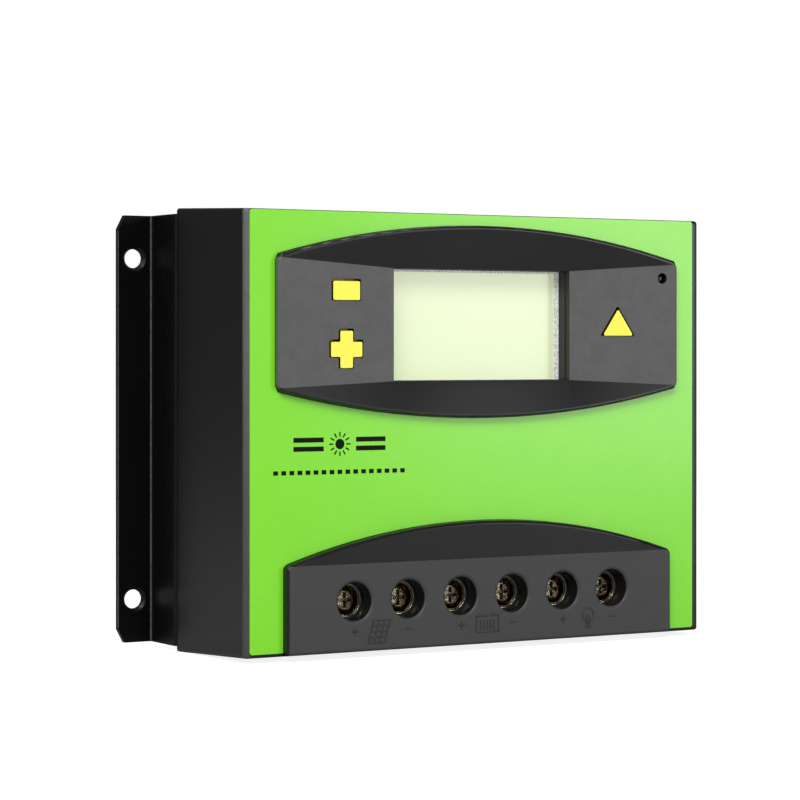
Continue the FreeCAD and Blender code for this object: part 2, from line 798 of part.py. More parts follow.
def key_piece(shape, x, z):
    """Cap that fills its hole, with a lip behind the front wall and a stem that reaches its switch."""
    lip_back = front_in + 0.2 + key_lip_t
    cap = shape(front(eye_rise + 1), lip_back, 0)
    side = 1 if x > 0 else -1
    x0 = side * window_half_w
    x1 = side * eye_half_w
    profile = [(x0, front(panel_rise(x0) + key_proud)), (x1, front(panel_rise(x1) + key_proud)),
               (x1, 0), (x0, 0)]
    under = prism_xy(profile, -cover_h / 2, cover_h / 2)
    cap = cap.common(under)
    lip = shape(front_in + 0.2, lip_back, key_lip)
    stem = rod(x, z, key_stem_r, lip_back - 0.1, switch_top() - turn_gap)
    return join([cap, lip, stem])


def switch_top():
    return display_front - switch_t - plunger_up


def switch_body(x, z):
    y0 = display_front - switch_t
    half = switch_side / 2
    body = box(x - half, x + half, y0, display_front, z - half, z + half)
    return body.cut(rod(x, z, plunger_r + turn_gap, y0 - 1, display_front - switch_floor))


def switch_plunger(x, z):
    return rod(x, z, plunger_r, switch_top(), display_front - switch_floor - key_travel - 0.1)


def status_lamp():
    tip_y = front(panel_rise(lamp_x)) + lamp_set_back
    base = display_front - 4.2
    lens = rod(lamp_x, lamp_z, lamp_r, tip_y + lamp_r, base)
    dome = Part.makeSphere(lamp_r, V(lamp_x, tip_y + lamp_r, lamp_z))
    collar = rod(lamp_x, lamp_z, lamp_r + lamp_collar, base - 1.0, base)
    legs = [rod(lamp_x + dx, lamp_z, 0.3, base - 0.1, display_front) for dx in (-0.9, 0.9)]
    return join([lens, dome, collar] + legs)


# ---- terminal block ----

def terminal_housing():
    body = box(-housing_half_w, housing_half_w, housing_front, main_front, housing_low, housing_top)
    cuts = []
    for x in pole_xs:
        cuts.append(rod(x, screw_z, bore_back_r, housing_front - 1, nut_front))
        cuts.append(taper(x, screw_z, bore_back_r + bore_back_rim, bore_back_r,
                          housing_front - eps, housing_front + bore_back_rim))
        cuts.append(nut_room(x))
        cuts.append(box(x - tunnel_half_w, x + tunnel_half_w, nut_back - eps, bar_front + eps,
                        housing_low - 1, screw_z + tunnel_top))
        cuts.append(bar_shape(x))
    return body.cut(cuts)


def nut_room(x):
    return box(x - nut_half_w, x + nut_half_w, nut_front, nut_back,
               screw_z - nut_half_h, screw_z + nut_half_h)


def nut_bar(x):
    return nut_room(x).cut(rod(x, screw_z, shank_r + turn_gap, nut_front - 1, nut_back + 1))


def bar_shape(x):
    """Contact bar with one leg that goes down to the board."""
    top = screw_z + tunnel_top
    flat = box(x - tunnel_half_w, x + tunnel_half_w, bar_front, bar_back, housing_low + 1.5, top)
    leg = box(x - bar_leg_half_w, x + bar_leg_half_w, bar_back - 0.1, main_front, top - bar_leg_t, top)
    return join([flat, leg])


def clamp_plate(x):
    return box(x - clamp_half_w, x + clamp_half_w, tip, plate_rear,
               screw_z - clamp_half_h, screw_z + clamp_half_h)


def clamp_screw(x):
    return pan_screw(x, screw_z, head_back, 1, shank_r, tip - head_back, head_r, head_h, cross_len)


# ---- output ----

save("heat_sink", heat_sink())
save("front_cover", front_cover())
save("front_label", front_label())

cover_screws = []
for corner_x in (-boss_x, boss_x):
    for corner_z in (-boss_z, boss_z):
        cover_screws.append(pan_screw(corner_x, corner_z, plate_back, -1, 1.3, 14.0, 2.9, 2.0, 3.0))
save("cover_screws", group(cover_screws))

save("main_board", main_board())
save("board_standoffs", group([standoff(x, z) for x, z in standoff_spots()]))
save("board_screws", group([pan_screw(x, z, main_front, 1, 1.25, 5.5, 2.8, 1.9, 2.8)
                            for x, z in standoff_spots()]))
save("mosfets", group([mosfet(x, z) for x, z in mosfet_spots()]))
save("mosfet_pads", group([mosfet_pad(x, z) for x, z in mosfet_spots()]))
tab_front = plate_front - pad_t - mosfet_tab_t
save("mosfet_screws", group([pan_screw(x, z + mosfet_hole_up, tab_front, 1, 1.45, 4.6, 2.8, 1.9, 2.8)
                             for x, z in mosfet_spots()]))
save("capacitors", group([capacitor(x, parts_z) for x in capacitor_xs]))
save("fuse_bases", group([fuse_base(x, parts_z) for x in fuse_xs]))
save("blade_fuses", group([blade_fuse(x, parts_z) for x in fuse_xs]))
save("current_shunts", group([shunt(x, parts_z) for x in shunt_xs]))
save("controller_chip", flat_chip(controller_x, controller_z, controller_side, 11, 0.8))
save("driver_chips", group([flat_chip(x, driver_z, driver_side, 4, 1.27) for x in driver_xs]))
save("link_socket", link_socket())
save("link_header", link_header())

save("display_board", display_board())
save("display_screws", group([pan_screw(x, z, display_back, -1, 1.0, 7.5, 2.3, 1.6, 2.3)
                              for x, z in display_screws()]))
save("lcd_bezel", lcd_bezel())
save("lcd_glass", lcd_glass())
save("lcd_backlight", lcd_backlight())
save("lcd_pins", lcd_pins())
save("status_lamp", status_lamp())
save("switch_bodies", group([switch_body(x, z) for shape, x, z in keys.values()]))
for name, (shape, x, z) in keys.items():
    save("key_" + name, key_piece(shape, x, z))
    save("switch_plunger_" + name, switch_plunger(x, z))

save("terminal_housing", terminal_housing())
save("terminal_nuts", group([nut_bar(x) for x in pole_xs]))
save("contact_bars", group([bar_shape(x) for x in pole_xs]))
for i, x in enumerate(pole_xs, 1):
    save("terminal_screw_%d" % i, clamp_screw(x))
    save("clamp_plate_%d" % i, clamp_plate(x))
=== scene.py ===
import math

import bmesh
import bpy
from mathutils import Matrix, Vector


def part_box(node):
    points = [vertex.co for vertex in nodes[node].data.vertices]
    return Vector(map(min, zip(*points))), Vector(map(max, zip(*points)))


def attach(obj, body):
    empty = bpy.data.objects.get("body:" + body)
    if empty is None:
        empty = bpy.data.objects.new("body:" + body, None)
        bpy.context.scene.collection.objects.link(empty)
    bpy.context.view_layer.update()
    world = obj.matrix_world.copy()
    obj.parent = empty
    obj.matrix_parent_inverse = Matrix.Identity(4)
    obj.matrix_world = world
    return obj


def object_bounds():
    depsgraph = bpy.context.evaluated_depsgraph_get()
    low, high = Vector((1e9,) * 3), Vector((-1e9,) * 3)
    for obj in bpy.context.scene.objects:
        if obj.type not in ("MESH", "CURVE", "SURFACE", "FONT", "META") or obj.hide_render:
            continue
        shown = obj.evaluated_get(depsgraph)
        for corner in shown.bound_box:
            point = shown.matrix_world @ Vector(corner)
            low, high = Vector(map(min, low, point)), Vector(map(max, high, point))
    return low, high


# Wall-mounted solar charge controller. Everything is in metres and in the frame's own axes:
# X to the right, +Y into the wall, +Z up.

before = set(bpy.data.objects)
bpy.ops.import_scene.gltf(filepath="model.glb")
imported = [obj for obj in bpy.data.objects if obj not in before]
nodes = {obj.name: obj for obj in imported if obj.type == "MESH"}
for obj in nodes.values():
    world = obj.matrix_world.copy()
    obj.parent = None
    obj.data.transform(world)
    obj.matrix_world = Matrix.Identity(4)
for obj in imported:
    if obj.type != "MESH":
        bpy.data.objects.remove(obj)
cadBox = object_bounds()
mm = 0.001
um = 0.001 * mm
print("frame loaded:", len(nodes), "nodes")


# small helpers for node trees

def feed(tree, socket, value):
    # a socket takes a link or a plain value
    if isinstance(value, bpy.types.NodeSocket):
        tree.links.new(value, socket)
    else:
        socket.default_value = value


def addNode(tree, kind, inputs=None, **settings):
    node = tree.nodes.new(kind)
    for name, value in settings.items():
        setattr(node, name, value)
    for name, value in (inputs or {}).items():
        feed(tree, node.inputs[name], value)
    return node


def calc(tree, operation, a, b=0.0, c=0.0):
    node = addNode(tree, "ShaderNodeMath", operation=operation)
    for socket, value in zip(node.inputs, (a, b, c)):
        feed(tree, socket, value)
    return node.outputs[0]


def ramp(tree, value, low, high):
    # 0 below low, 1 above high, smooth between
    node = addNode(tree, "ShaderNodeMapRange", {"Value": value, "From Min": low, "From Max": high},
                   interpolation_type="SMOOTHSTEP")
    return node.outputs["Result"]


def product(tree, values):
    result = values[0]
    for value in values[1:]:
        result = calc(tree, "MULTIPLY", result, value)
    return result


def blendColour(tree, share, first, second):
    node = addNode(tree, "ShaderNodeMix", {0: share, 6: first, 7: second}, data_type="RGBA")
    return node.outputs[2]


def blendVector(tree, share, first, second):
    node = addNode(tree, "ShaderNodeMix", {0: share, 4: first, 5: second}, data_type="VECTOR")
    return node.outputs[1]


def blendNumber(tree, share, first, second):
    node = addNode(tree, "ShaderNodeMapRange", {"Value": share, "To Min": first, "To Max": second})
    return node.outputs["Result"]


def split(tree, vector):
    return addNode(tree, "ShaderNodeSeparateXYZ", {"Vector": vector}).outputs


def facing(tree, where):
    # Y of the surface's normal: -1 where it looks straight to the front
    return split(tree, where.node.outputs["Normal"])["Y"]


def noise(tree, where, size, detail=3.0, roughness=0.55):
    node = addNode(tree, "ShaderNodeTexNoise", {"Vector": where, "Scale": 1 / size, "Detail": detail,
                                                "Roughness": roughness})
    return node.outputs["Fac"]


def stretched(tree, where, scale):
    return addNode(tree, "ShaderNodeMapping", {"Vector": where, "Scale": scale}).outputs["Vector"]


def bump(tree, height, depth, under=None):
    inputs = {"Height": height, "Distance": depth}
    if under is not None:
        inputs["Normal"] = under
    return addNode(tree, "ShaderNodeBump", inputs).outputs["Normal"]


def softEdges(tree, radius):
    # corners catch the light as if they were rounded
    return addNode(tree, "ShaderNodeBevel", {"Radius": radius}, samples=4).outputs["Normal"]


def startMaterial(name, **shaderInputs):
    material = bpy.data.materials.new(name)
    material.use_nodes = True
    tree = material.node_tree
    tree.nodes.clear()
    shader = addNode(tree, "ShaderNodeBsdfPrincipled",
                     {key.replace("_", " "): value for key, value in shaderInputs.items()})
    output = addNode(tree, "ShaderNodeOutputMaterial")
    tree.links.new(shader.outputs["BSDF"], output.inputs["Surface"])
    where = addNode(tree, "ShaderNodeTexCoord").outputs["Object"]
    return material, tree, shader, where


def grey(level, tint=(1.0, 1.0, 1.0)):
    return (level * tint[0], level * tint[1], level * tint[2], 1.0)


def plug(tree, shader, **links):
    for name, socket in links.items():
        tree.links.new(socket, shader.inputs[name.replace("_", " ")])


# moulded cover: smooth brows and sides, spark-eroded key panels and terminal face

coverLook = {
    "sideTone": 0.0060,
    "edgeTone": 0.135,
    "panelTone": 0.105,
    "faceTone": 0.048,
    "windowHalfWidth": 30.0 * mm,
    "windowTop": 46.1 * mm,
    "windowLow": 14.1 * mm,
    "panelEnd": 67.5 * mm,
    "panelOuter": 68.3 * mm,
    "panelTop": 48.6 * mm,
    "panelLow": 12.4 * mm,
    "labelPlane": -56.9 * mm,
    "terminalFold": -37.0 * mm,
    "terminalEnd": 64.9 * mm,
    "terminalFront": -58.7 * mm,
    "maskEdge": 0.06 * mm,
    "creaseFade": (0.02 * mm, 0.14 * mm),
    "raisedFade": 0.2 * mm,
    "endFade": 0.4 * mm,
    "maskFade": 0.3 * mm,
    "frontFacing": (-0.45, -0.75),
    "grainSize": 0.42 * mm,
    "grainDepth": 0.035 * mm,
    "fineSize": 0.16 * mm,
    "fineDepth": 0.004 * mm,
    "cloudSize": 14 * mm,
    "mottleSize": 5.5 * mm,
    "smoothRough": (0.26, 0.34),
    "erodedRough": 0.22,                      # added to the smooth value
    "sideRound": 1.3 * mm,
    "sideRoundFrom": (75.3 * mm, 75.5 * mm),
    "rubbedX": (-75.6 * mm, -75.9 * mm),
    "rubbedY": (-54.9 * mm, -56.1 * mm),
    "rubbedZ": (-60 * mm, 62 * mm),
    "rubbedLeast": 0.42,                      # share of the painted highlight at the low end, 1 at the top
    "rubbedPatch": 3 * mm,
}


def keyPanelMask(tree, place, outward, where):
    # key panels lie between two straight creases that run out from the window's corners
    look = coverLook
    edge = look["maskEdge"]
    along = calc(tree, "SUBTRACT", outward, look["windowHalfWidth"])
    span = look["panelEnd"] - look["windowHalfWidth"]
    topSlope = (look["panelTop"] - look["windowTop"]) / span
    lowSlope = (look["panelLow"] - look["windowLow"]) / span
    topLine = calc(tree, "MULTIPLY_ADD", along, topSlope, look["windowTop"])
    lowLine = calc(tree, "MULTIPLY_ADD", along, lowSlope, look["windowLow"])
    # walls of holes stay dark, the outer end wall of the eye doesn't
    openly = calc(tree, "MAXIMUM", ramp(tree, facing(tree, where), *look["frontFacing"]),
                  ramp(tree, outward, look["panelEnd"] - look["endFade"], look["panelEnd"]))
    return product(tree, [
        ramp(tree, along, *look["creaseFade"]),
        ramp(tree, calc(tree, "SUBTRACT", look["panelOuter"], outward), -edge, edge),
        ramp(tree, calc(tree, "SUBTRACT", topLine, place["Z"]), -edge, edge),
        ramp(tree, calc(tree, "SUBTRACT", place["Z"], lowLine), -edge, edge),
        ramp(tree, place["Y"], look["labelPlane"], look["labelPlane"] - look["raisedFade"]),
        openly,
    ])


def terminalFaceMask(tree, place, outward):
    look = coverLook
    edge, fade = look["maskEdge"], look["maskFade"]
    return product(tree, [
        ramp(tree, place["Z"], look["terminalFold"] + edge, look["terminalFold"] - edge),
        ramp(tree, outward, look["terminalEnd"], look["terminalEnd"] - fade),
        ramp(tree, place["Y"], look["terminalFront"], look["terminalFront"] - fade),
    ])


def edgeHighlightMask(tree, place, where):
    # painted highlight: the upright front edge on the left is painted paler where its rounding catches the
    # light, most of all near its top
    look = coverLook
    return product(tree, [
        ramp(tree, place["X"], *look["rubbedX"]),
        ramp(tree, place["Y"], *look["rubbedY"]),
        blendNumber(tree, ramp(tree, place["Z"], *look["rubbedZ"]), look["rubbedLeast"], 1.0),
        blendNumber(tree, noise(tree, where, look["rubbedPatch"], 4.0, 0.7), 0.7, 1.3),
    ])


def toneBlend(tree, share, tone, low, high):
    # one tone between a darker and a paler share of itself
    return blendColour(tree, share, grey(tone * low), grey(tone * high))


def coverMaterial():
    look = coverLook
    material, tree, shader, where = startMaterial("mouldedCover", IOR=1.42)
    place = split(tree, where)
    outward = calc(tree, "ABSOLUTE", place["X"])
    panel = keyPanelMask(tree, place, outward, where)
    face = terminalFaceMask(tree, place, outward)
    eroded = calc(tree, "ADD", panel, face)
    cloud = noise(tree, where, look["cloudSize"], 2.0)
    grain = noise(tree, where, look["grainSize"], 4.0, 0.7)
    fine = noise(tree, where, look["fineSize"], 2.0)
    mottle = ramp(tree, noise(tree, where, look["mottleSize"], 4.0, 0.7), 0.32, 0.66)

    # colour: a little uneven, lighter where the eroded grain scatters light
    smooth = blendColour(tree, cloud, grey(look["sideTone"] * 0.85),
                         grey(look["sideTone"] * 1.15, (1, 1, 1.05)))
    # painted highlight along the left front edge, mixed over the smooth colour
    smooth = blendColour(tree, edgeHighlightMask(tree, place, where), smooth,
                         grey(look["edgeTone"], (0.96, 1.0, 0.98)))
    panelColour = blendColour(tree, mottle, toneBlend(tree, grain, look["panelTone"], 0.70, 1.08),
                              toneBlend(tree, grain, look["panelTone"], 0.82, 1.26))
    faceColour = toneBlend(tree, grain, look["faceTone"], 0.7, 1.35)
    colour = blendColour(tree, panel, blendColour(tree, face, smooth, faceColour), panelColour)
    rough = calc(tree, "MULTIPLY_ADD", eroded, look["erodedRough"],
                 blendNumber(tree, cloud, *look["smoothRough"]))

    # the upright front edges have a wide, soft rounding
    atSide = ramp(tree, outward, *look["sideRoundFrom"])
    plain = addNode(tree, "ShaderNodeNewGeometry").outputs["Normal"]
    rounded = blendVector(tree, atSide, plain, softEdges(tree, look["sideRound"]))
    relief = bump(tree, calc(tree, "MULTIPLY", grain, eroded), look["grainDepth"], rounded)
    relief = bump(tree, fine, look["fineDepth"], relief)
    plug(tree, shader, Base_Color=colour, Roughness=rough, Normal=relief)
    return material


# printed film on the front: glossy green, very slightly wavy

filmLook = {
    "green": (0.225, 0.775, 0.016, 1.0),
    "deepGreen": (0.219, 0.764, 0.015, 1.0),
    "rough": (0.24, 0.34),
    "cloudSize": 9 * mm,
    "waveSize": 22 * mm,
    "waveDepth": 0.02 * mm,
    "peelSize": 1.1 * mm,
    "peelDepth": 0.0008 * mm,
}


def filmMaterial():
    look = filmLook
    material, tree, shader, where = startMaterial("greenFilm", IOR=1.45, Coat_Weight=0.35,
                                                  Coat_Roughness=0.16)
    wave = noise(tree, where, look["waveSize"], 1.0)
    peel = noise(tree, where, look["peelSize"], 2.0)
    cloud = noise(tree, where, look["cloudSize"], 2.0)
    colour = blendColour(tree, ramp(tree, cloud, 0.3, 0.7), look["deepGreen"], look["green"])
    relief = bump(tree, peel, look["peelDepth"], bump(tree, wave, look["waveDepth"]))
    plug(tree, shader, Base_Color=colour, Roughness=blendNumber(tree, peel, *look["rough"]), Normal=relief)
    return material


inkLook = {
    "dark": (0.001, 0.002, 0.001, 1),
    "pale": (0.003, 0.006, 0.002, 1),
    "rough": (0.5, 0.65),
    "speckSize": 0.2 * mm,
    "speckDepth": 0.004 * mm,
}


def inkMaterial():
    look = inkLook
    material, tree, shader, where = startMaterial("screenInk", IOR=1.25)
    speck = noise(tree, where, look["speckSize"], 3.0)
    plug(tree, shader, Base_Color=blendColour(tree, speck, look["dark"], look["pale"]),
         Roughness=blendNumber(tree, speck, *look["rough"]), Normal=bump(tree, speck, look["speckDepth"]))
    return material


# extruded heat sink: black anodised, drawn lines along Z

sinkLook = {
    "tone": 0.0010,
    "rough": (0.26, 0.34),
    "drawnRough": 0.12,
    "cloudSize": 30 * mm,
    "lineSize": 0.5 * mm,
    "lineDepth": 0.012 * mm,
    "lineStretch": (1, 1, 0.012),
    "edge": 0.30 * mm,
}


def anodisedMaterial():
    look = sinkLook
    material, tree, shader, where = startMaterial("blackAnodised", IOR=1.33)
    drawn = noise(tree, stretched(tree, where, look["lineStretch"]), look["lineSize"], 3.0, 0.7)
    cloud = noise(tree, where, look["cloudSize"], 2.0)
    colour = blendColour(tree, drawn, grey(look["tone"] * 0.6), grey(look["tone"] * 1.5, (1, 1, 1.04)))
    rough = calc(tree, "ADD", blendNumber(tree, cloud, *look["rough"]),
                 calc(tree, "MULTIPLY", drawn, look["drawnRough"]))
    relief = bump(tree, drawn, look["lineDepth"], softEdges(tree, look["edge"]))
    plug(tree, shader, Base_Color=colour, Roughness=rough, Normal=relief)
    return material


# keys: satin yellow in front, with painted shade darkening the walls that go into the holes, and a faint
# painted glow

keyLook = {
    "deep": (1.0, 0.90, 0.085, 1),
    "bright": (1.0, 0.95, 0.12, 1),
    "wall": (0.030, 0.016, 0.002, 1),
    "glow": 0.07,
    "rough": (0.42, 0.6),
    "cloudSize": 5 * mm,
    "grainSize": 0.3 * mm,
    "grainDepth": 0.008 * mm,
    "edge": 0.12 * mm,
}


def keyMaterial():
    look = keyLook
    # painted glow: the keys emit a little light though they are no lamp
    material, tree, shader, where = startMaterial("yellowKey", IOR=1.45, Emission_Strength=look["glow"])
    grain = noise(tree, where, look["grainSize"], 3.0, 0.6)
    cloud = noise(tree, where, look["cloudSize"], 2.0)
    colour = blendColour(tree, cloud, look["deep"], look["bright"])
    # painted shade: the walls going into the holes are darkened, as the gaps round each key would be in
    # shade
    colour = blendColour(tree, ramp(tree, facing(tree, where), -0.4, -0.8), look["wall"], colour)
    relief = bump(tree, grain, look["grainDepth"], softEdges(tree, look["edge"]))
    plug(tree, shader, Base_Color=colour, Emission_Color=colour,
         Roughness=blendNumber(tree, grain, *look["rough"]), Normal=relief)
    return material


# display: pale green, with painted light making it paler towards the top, where the brow's shadow falls,
# and a painted glow

displayLook = {
    "pale": (0.44, 0.51, 0.315, 1.0),
    "paler": (0.47, 0.515, 0.345, 1.0),
    "glow": 0.77,
    "rough": (0.3, 0.4),
    "fadeHeights": (16 * mm, 46 * mm),
    "cloudSize": 25 * mm,
    "cellSize": 0.3 * mm,
    "cellDepth": 0.001 * mm,
}


def displayMaterial():
    look = displayLook
    material, tree, shader, where = startMaterial("displayGlass", IOR=1.5, Coat_Weight=0.35,
                                                  Coat_Roughness=0.08, Emission_Strength=look["glow"])
    # painted light: paler towards the top to even out the brow's shadow
    paintedTopLight = ramp(tree, split(tree, where)["Z"], *look["fadeHeights"])
    cloud = noise(tree, where, look["cloudSize"], 1.0)
    colour = blendColour(tree, calc(tree, "MULTIPLY", paintedTopLight, blendNumber(tree, cloud, 0.7, 1.2)),
                         look["pale"], look["paler"])
    cell = noise(tree, where, look["cellSize"], 2.0)
    plug(tree, shader, Base_Color=colour, Emission_Color=colour,
         Roughness=blendNumber(tree, cell, *look["rough"]), Normal=bump(tree, cell, look["cellDepth"]))
    return material


lensLook = {"tones": (0.008, 0.02), "rough": (0.08, 0.16), "cloudSize": 2 * mm}


def lensMaterial():
    look = lensLook
    material, tree, shader, where = startMaterial("smokedLens", IOR=1.55, Coat_Weight=1.0,
                                                  Coat_Roughness=0.04)
    cloud = noise(tree, where, look["cloudSize"], 2.0)
    plug(tree, shader, Base_Color=blendColour(tree, cloud, *[grey(tone) for tone in look["tones"]]),
         Roughness=blendNumber(tree, cloud, *look["rough"]))
    return material


guideLook = {
    "dull": (0.80, 0.84, 0.78, 1),
    "milky": (0.88, 0.90, 0.84, 1),
    "rough": (0.25, 0.4),
    "cloudSize": 8 * mm,
    "edge": 0.2 * mm,
}


def guideMaterial():
    look = guideLook
    material, tree, shader, where = startMaterial("lightGuide", IOR=1.49)
    cloud = noise(tree, where, look["cloudSize"], 2.0)
    plug(tree, shader, Base_Color=blendColour(tree, cloud, look["dull"], look["milky"]),
         Roughness=blendNumber(tree, cloud, *look["rough"]), Normal=softEdges(tree, look["edge"]))
    return material


# metals: one recipe, a dictionary for each finish

metalGrain = {"smudgeSize": 1.6 * mm, "fineSize": 0.12 * mm, "fineStretch": (1, 1, 0.15), "dullShare": 0.72}
metalLooks = {
    "nickelPlate": {"colour": (0.22, 0.18, 0.125), "rough": (0.05, 0.16), "scratch": 4 * um,
                    "edge": 220 * um, "wave": 450 * um},
    "platedSteel": {"colour": (0.62, 0.62, 0.60), "rough": (0.22, 0.36), "scratch": 6 * um,
                    "edge": 120 * um},
    "blackSteel": {"colour": (0.035, 0.035, 0.037), "rough": (0.28, 0.42), "scratch": 8 * um,
                   "edge": 120 * um},
    "copperBar": {"colour": (0.78, 0.42, 0.27), "rough": (0.22, 0.38), "scratch": 8 * um,
                  "edge": 150 * um},
    "brassBar": {"colour": (0.72, 0.55, 0.26), "rough": (0.20, 0.36), "scratch": 8 * um,
                 "edge": 150 * um},
    "brightRim": {"colour": (0.80, 0.80, 0.76), "rough": (0.16, 0.26), "scratch": 2 * um,
                  "edge": 40 * um},
    "darkBrass": {"colour": (0.52, 0.33, 0.12), "rough": (0.16, 0.30), "scratch": 6 * um,
                  "edge": 50 * um},
    "tinnedPins": {"colour": (0.70, 0.70, 0.68), "rough": (0.24, 0.4), "scratch": 4 * um,
                   "edge": 60 * um},
}


def metalMaterial(name):
    look = metalLooks[name]
    material, tree, shader, where = startMaterial(name, Metallic=1.0)
    smudge = noise(tree, where, metalGrain["smudgeSize"], 3.0)
    fine = noise(tree, stretched(tree, where, metalGrain["fineStretch"]), metalGrain["fineSize"], 2.0)
    bright = (*look["colour"], 1.0)
    dull = (*[channel * metalGrain["dullShare"] for channel in look["colour"]], 1.0)
    relief = bump(tree, fine, look["scratch"], softEdges(tree, look["edge"]))
    if "wave" in look:
        relief = bump(tree, smudge, look["wave"], relief)
    plug(tree, shader, Base_Color=blendColour(tree, ramp(tree, smudge, 0.3, 0.7), bright, dull),
         Roughness=blendNumber(tree, smudge, *look["rough"]), Normal=relief)
    return material


# plastics: one recipe again, colours from low to high over a grain of the given size

plasticGrain = {"depth": 0.01 * mm, "edge": 0.15 * mm}
plasticLooks = {
    "blackNylon": {"low": (0.012, 0.012, 0.013), "high": (0.022, 0.022, 0.024),
                   "rough": (0.38, 0.55), "size": 0.5 * mm},
    "bezelPlastic": {"low": (0.004, 0.004, 0.004), "high": (0.008, 0.008, 0.008),
                     "rough": (0.3, 0.45), "size": 0.5 * mm},
    "chipBlack": {"low": (0.014, 0.014, 0.015), "high": (0.026, 0.026, 0.028),
                  "rough": (0.45, 0.65), "size": 0.2 * mm},
    "greySilicone": {"low": (0.20, 0.21, 0.22), "high": (0.27, 0.28, 0.29),
                     "rough": (0.5, 0.7), "size": 0.8 * mm},
    "fusePlastic": {"low": (0.72, 0.22, 0.02), "high": (0.85, 0.30, 0.04),
                    "rough": (0.18, 0.3), "size": 1.5 * mm},
    "capSleeve": {"low": (0.010, 0.014, 0.030), "high": (0.020, 0.026, 0.050),
                  "rough": (0.2, 0.34), "size": 1.2 * mm},
    # the foam's glow is painted light that lifts it out of the brow's shadow
    "foamSeal": {"low": (0.42, 0.43, 0.40), "high": (0.80, 0.82, 0.78),
                 "rough": (0.6, 0.8), "size": 0.6 * mm, "glow": 0.3},
    # painted highlight: pale tone for the lines along the heat sink's bends
    "paintedHighlightEdge": {"low": (0.05, 0.05, 0.052), "high": (0.11, 0.11, 0.115),
                   "rough": (0.3, 0.45), "size": 0.8 * mm},
    "signPlastic": {"low": (0.022, 0.022, 0.023), "high": (0.036, 0.036, 0.038),
                    "rough": (0.4, 0.55), "size": 0.4 * mm},
    "paleCeramic": {"low": (0.45, 0.40, 0.32), "high": (0.60, 0.55, 0.46),
                    "rough": (0.35, 0.5), "size": 0.4 * mm},
}


def plasticMaterial(name):
    look = plasticLooks[name]
    # any emission here is a painted glow; none of these parts is a lamp
    material, tree, shader, where = startMaterial(name, IOR=1.5, Emission_Strength=look.get("glow", 0.0))
    grain = noise(tree, where, look["size"], 3.0, 0.6)
    colour = blendColour(tree, ramp(tree, grain, 0.3, 0.7), (*look["low"], 1.0), (*look["high"], 1.0))
    relief = bump(tree, grain, plasticGrain["depth"], softEdges(tree, plasticGrain["edge"]))
    plug(tree, shader, Base_Color=colour, Emission_Color=colour,
         Roughness=blendNumber(tree, grain, *look["rough"]), Normal=relief)
    return material


boardLook = {
    "mask": (0.012, 0.105, 0.030, 1.0),
    "track": (0.030, 0.190, 0.060, 1.0),
    "rough": (0.3, 0.4),
    "trackPitch": 1.3 * mm,
    "trackDepth": 0.03 * mm,
}


def boardMaterial():
    look = boardLook
    material, tree, shader, where = startMaterial("circuitBoard", IOR=1.5, Coat_Weight=0.4,
                                                  Coat_Roughness=0.12)
    maze = addNode(tree, "ShaderNodeTexVoronoi", {"Vector": where, "Scale": 1 / (4 * look["trackPitch"])},
                   feature="DISTANCE_TO_EDGE", distance="EUCLIDEAN").outputs["Distance"]
    across = split(tree, where)["X"]
    lines = calc(tree, "SINE", calc(tree, "MULTIPLY", across, math.tau / look["trackPitch"]))
    track = calc(tree, "MULTIPLY", ramp(tree, lines, 0.1, 0.3), ramp(tree, maze, 0.05, 0.08))
    plug(tree, shader, Base_Color=blendColour(tree, track, look["mask"], look["track"]),
         Roughness=blendNumber(tree, track, *look["rough"]), Normal=bump(tree, track, look["trackDepth"]))
    return material


finishes = {
    "black_anodised": anodisedMaterial(),
    "black_abs": coverMaterial(),
    "green_label": filmMaterial(),
    "black_steel": metalMaterial("blackSteel"),
    "circuit_board": boardMaterial(),
    "plated_steel": metalMaterial("platedSteel"),
    "chip_black": plasticMaterial("chipBlack"),
    "grey_silicone": plasticMaterial("greySilicone"),
    "capacitor_sleeve": plasticMaterial("capSleeve"),
    "fuse_plastic": plasticMaterial("fusePlastic"),
    "copper": metalMaterial("copperBar"),
    "brass": metalMaterial("brassBar"),
    "tinned_pins": metalMaterial("tinnedPins"),
    "display": displayMaterial(),
    "light_guide": guideMaterial(),
    "lamp_lens": lensMaterial(),
    "black_nylon": plasticMaterial("blackNylon"),
    "yellow_key": keyMaterial(),
    "nickel_plate": metalMaterial("nickelPlate"),
}
ink = inkMaterial()
foam = plasticMaterial("foamSeal")
ceramic = plasticMaterial("paleCeramic")
rimMetal = metalMaterial("brightRim")
flangeHighlightPaint = plasticMaterial("paintedHighlightEdge")
sleeveBrass = metalMaterial("darkBrass")
bezelBlack = plasticMaterial("bezelPlastic")
signBlack = plasticMaterial("signPlastic")
for name, node in nodes.items():
    for slot in node.material_slots:
        slot.material = bezelBlack if name == "lcd_bezel" else finishes[slot.material.name]
print("finishes set on", len(nodes), "nodes")


# Geometry Nodes make what repeats

def newTree(name, sockets):
    tree = bpy.data.node_groups.new(name, "GeometryNodeTree")
    tree.interface.new_socket("Geometry", in_out="OUTPUT", socket_type="NodeSocketGeometry")
    for label, kind in sockets.items():
        tree.interface.new_socket(label, in_out="INPUT", socket_type="NodeSocket" + kind)
    given = tree.nodes.new("NodeGroupInput").outputs
    result = tree.nodes.new("NodeGroupOutput").inputs
    return tree, given, result


def closeTree(tree, given, result, instances):
    real = addNode(tree, "GeometryNodeRealizeInstances", {"Geometry": instances})
    painted = addNode(tree, "GeometryNodeSetMaterial", {"Geometry": real.outputs[0],
                                                        "Material": given["Finish"]})
    tree.links.new(painted.outputs[0], result["Geometry"])
    return tree


